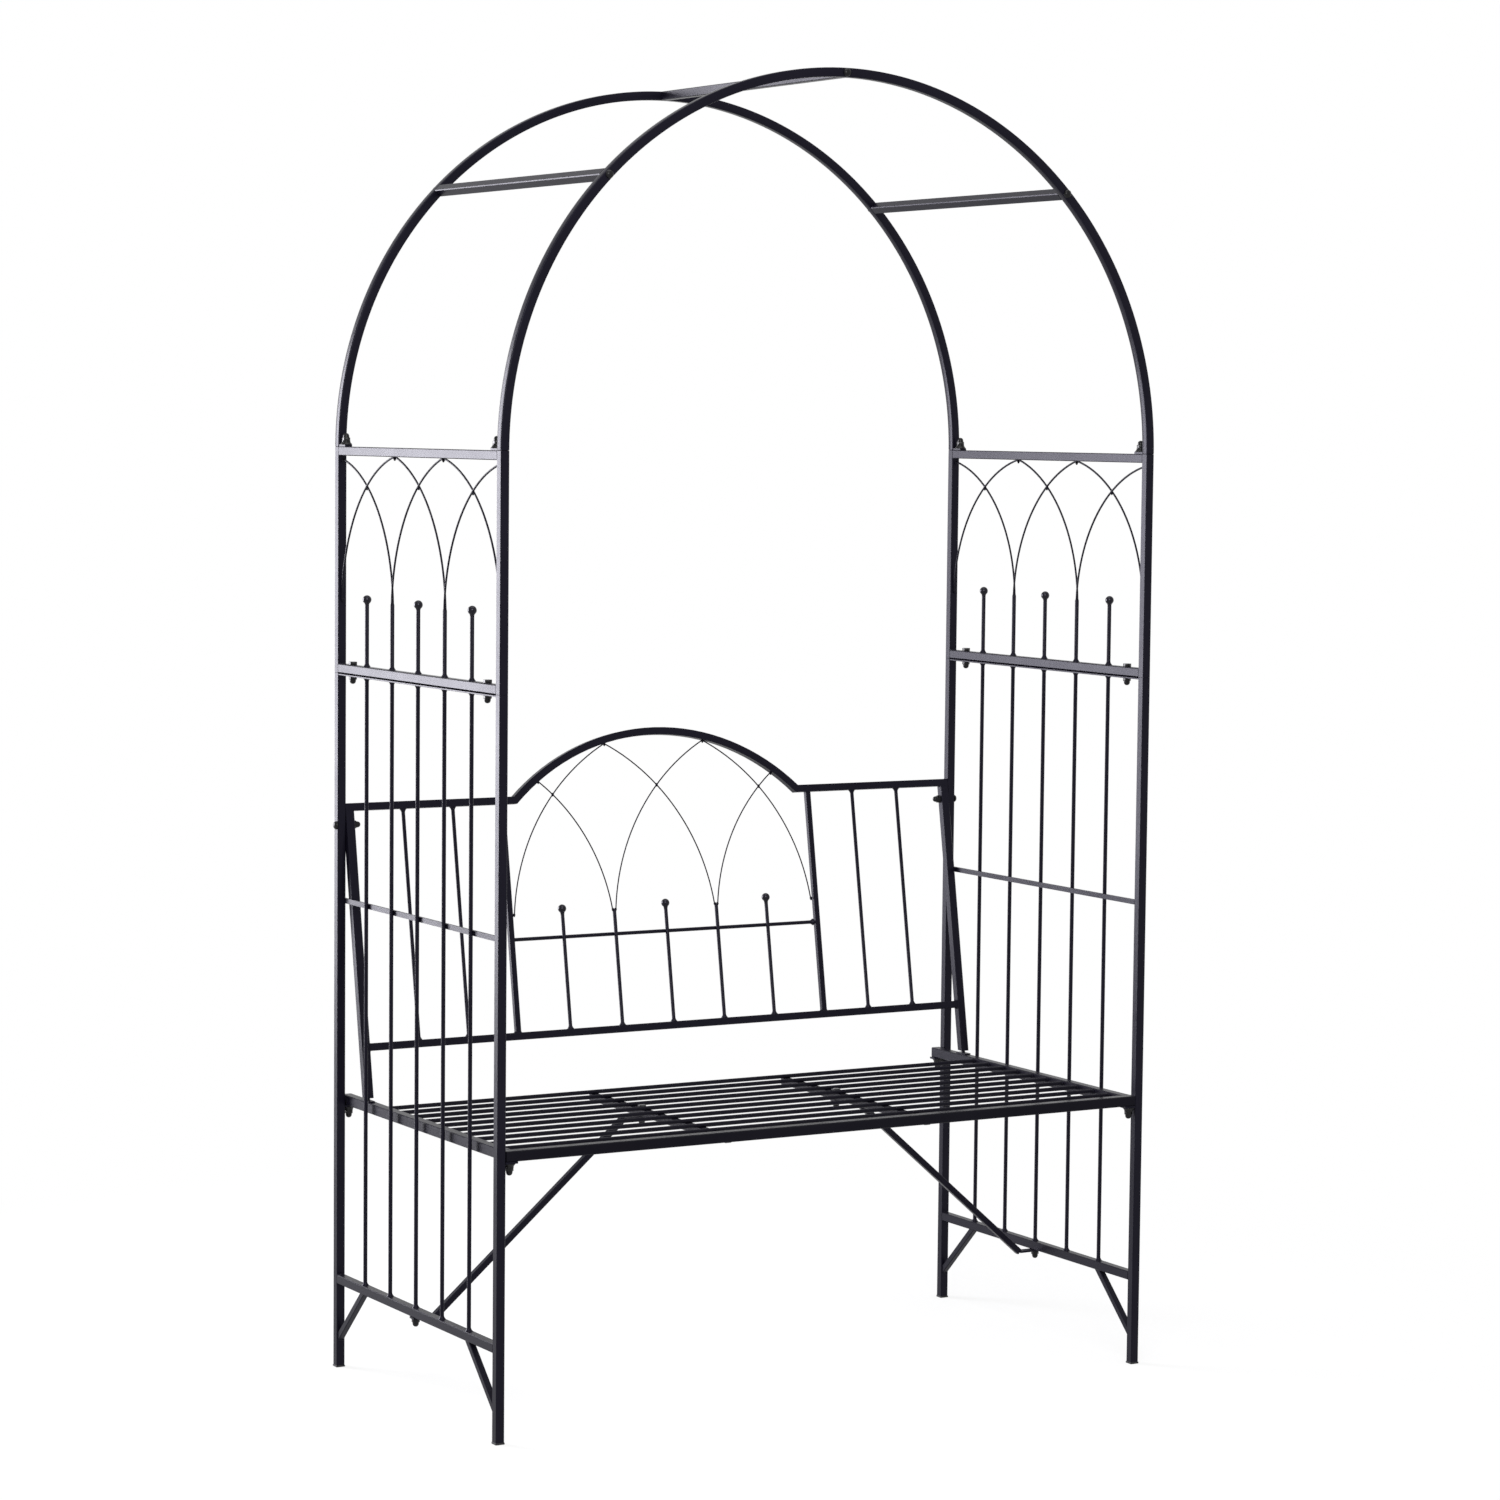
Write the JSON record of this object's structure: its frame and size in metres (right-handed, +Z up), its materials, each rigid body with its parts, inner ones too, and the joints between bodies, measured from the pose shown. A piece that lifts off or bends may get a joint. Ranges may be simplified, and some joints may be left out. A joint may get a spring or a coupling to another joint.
{
  "type": "garden trellis arch with bench",
  "caption": "Metal garden arch with trellis side panels, arched hoops joined by crossbars, and a built-in slatted bench with an arched backrest.",
  "frame": {"origin": "on the floor, midway between the four posts", "axes": "+X to the right as seen from the front, +Y to the backrest side, +Z up"},
  "size_m": [1.16, 0.6029, 2.032],
  "materials": {
    "powder_coat": "satin",
    "fastener_coat": "satin",
    "cap_plastic": "matte"
  },
  "bodies": {
    "root": {"acorn_nuts": "fastener_coat", "back_bolts": "fastener_coat", "back_bottom_rail": "powder_coat", "back_cross_rod": "powder_coat", "back_foot_plates": "powder_coat", "back_inner_stiles": "powder_coat", "back_rods": "powder_coat", "back_stile_left": "powder_coat", "back_stile_right": "powder_coat", "back_top_rail": "powder_coat", "back_wires": "powder_coat", "ball_finials": "powder_coat", "bottom_rail_left": "powder_coat", "bottom_rail_right": "powder_coat", "brace_bolts": "fastener_coat", "brace_left": "powder_coat", "brace_right": "powder_coat", "crossbar_bolts": "fastener_coat", "crossbar_crown": "powder_coat", "crossbar_left": "powder_coat", "crossbar_right": "powder_coat", "foot_caps": "cap_plastic", "foot_struts": "powder_coat", "hoop_foot_tabs": "powder_coat", "hoop_front_left": "powder_coat", "hoop_front_right": "powder_coat", "hoop_rear_left": "powder_coat", "hoop_rear_right": "powder_coat", "lower_post_front_left": "powder_coat", "lower_post_front_right": "powder_coat", "lower_post_rear_left": "powder_coat", "lower_post_rear_right": "powder_coat", "lower_rods_left": "powder_coat", "lower_rods_right": "powder_coat", "mid_bar_left": "powder_coat", "mid_bar_right": "powder_coat", "mid_rail_left": "powder_coat", "mid_rail_right": "powder_coat", "panel_bolts": "fastener_coat", "seat_cross_members": "powder_coat", "seat_front_rail": "powder_coat", "seat_rods": "powder_coat", "seat_side_rail_left": "powder_coat", "seat_side_rail_right": "powder_coat", "seat_tabs": "powder_coat", "top_rail_left": "powder_coat", "top_rail_right": "powder_coat", "top_strip_left": "powder_coat", "top_strip_right": "powder_coat", "trellis_wires_left": "powder_coat", "trellis_wires_right": "powder_coat", "tube_spigots": "powder_coat", "upper_post_front_left": "powder_coat", "upper_post_front_right": "powder_coat", "upper_post_rear_left": "powder_coat", "upper_post_rear_right": "powder_coat", "upper_rods_left": "powder_coat", "upper_rods_right": "powder_coat", "weld_studs": "fastener_coat"}
  },
  "joints": []
}
